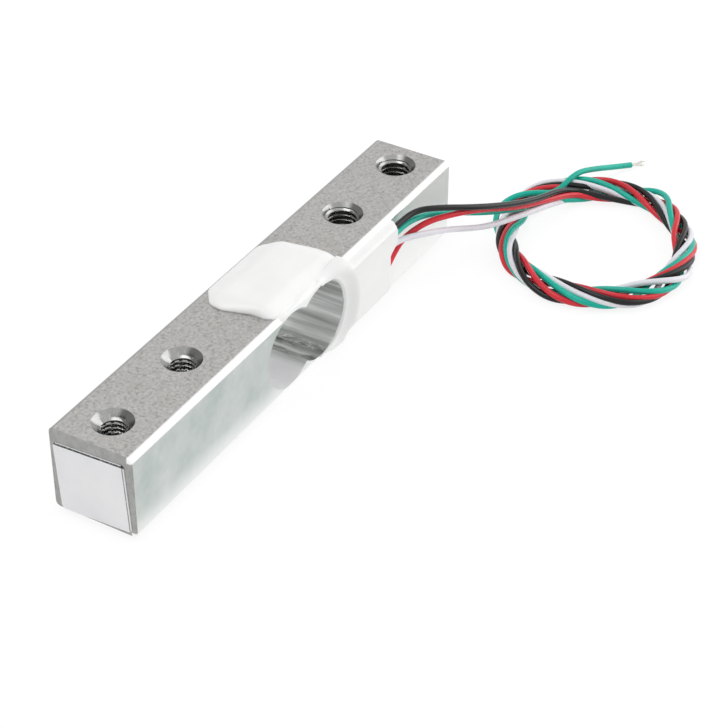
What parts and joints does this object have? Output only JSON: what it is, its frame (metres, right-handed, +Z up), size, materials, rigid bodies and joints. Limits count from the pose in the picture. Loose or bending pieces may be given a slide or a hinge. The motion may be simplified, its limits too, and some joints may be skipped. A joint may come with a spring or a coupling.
{
  "type": "single point load cell",
  "caption": "Small aluminium single point load cell: a machined bar with a double-lobed hole, white silicone over the strain gauges, and coiled coloured wire leads.",
  "frame": {"origin": "on the underside of the bar, midway between its two fixed-end holes", "axes": "+X along the bar, away from the load end; +Z up, in the direction that is opposite to the load; +Y to the bar's plain side, away from the leads"},
  "size_m": [0.1152, 0.0479, 0.0148],
  "materials": {
    "machined_aluminium": "fine machined",
    "white_silicone": "smooth, soft gloss",
    "label_paper": "matt white film",
    "green_insulation": "glossy",
    "red_insulation": "glossy",
    "white_insulation": "glossy",
    "black_insulation": "glossy",
    "tinned_copper": "tinned strands",
    "gauge_film": "amber polyimide film",
    "gauge_foil": "etched foil",
    "strip_laminate": "glass-fibre board",
    "pad_copper": "bare copper",
    "solder": "solder",
    "enamelled_copper": "enamelled copper wire"
  },
  "bodies": {
    "root": {"beam": "machined_aluminium", "black_core": "tinned_copper", "black_lead": "black_insulation", "black_lead_tail": "black_insulation", "black_lead_tip": "tinned_copper", "end_label": "label_paper", "gauge_film_bottom_fixed_side": "gauge_film", "gauge_film_bottom_load_side": "gauge_film", "gauge_film_top_fixed_side": "gauge_film", "gauge_film_top_load_side": "gauge_film", "gauge_foil_bottom_fixed_side": "gauge_foil", "gauge_foil_bottom_load_side": "gauge_foil", "gauge_foil_top_fixed_side": "gauge_foil", "gauge_foil_top_load_side": "gauge_foil", "gauge_jumpers": "enamelled_copper", "gauge_solder": "solder", "green_core": "tinned_copper", "green_lead": "green_insulation", "green_lead_tail": "green_insulation", "green_lead_tip": "tinned_copper", "lead_coil": "green_insulation", "lower_gauge_wires": "enamelled_copper", "red_core": "tinned_copper", "red_lead": "red_insulation", "red_lead_tail": "red_insulation", "red_lead_tip": "tinned_copper", "sealant": "white_silicone", "solder_pads": "pad_copper", "solder_strip": "strip_laminate", "strip_solder": "solder", "upper_gauge_wires": "enamelled_copper", "white_core": "tinned_copper", "white_lead": "white_insulation", "white_lead_tail": "white_insulation", "white_lead_tip": "tinned_copper"}
  },
  "joints": []
}
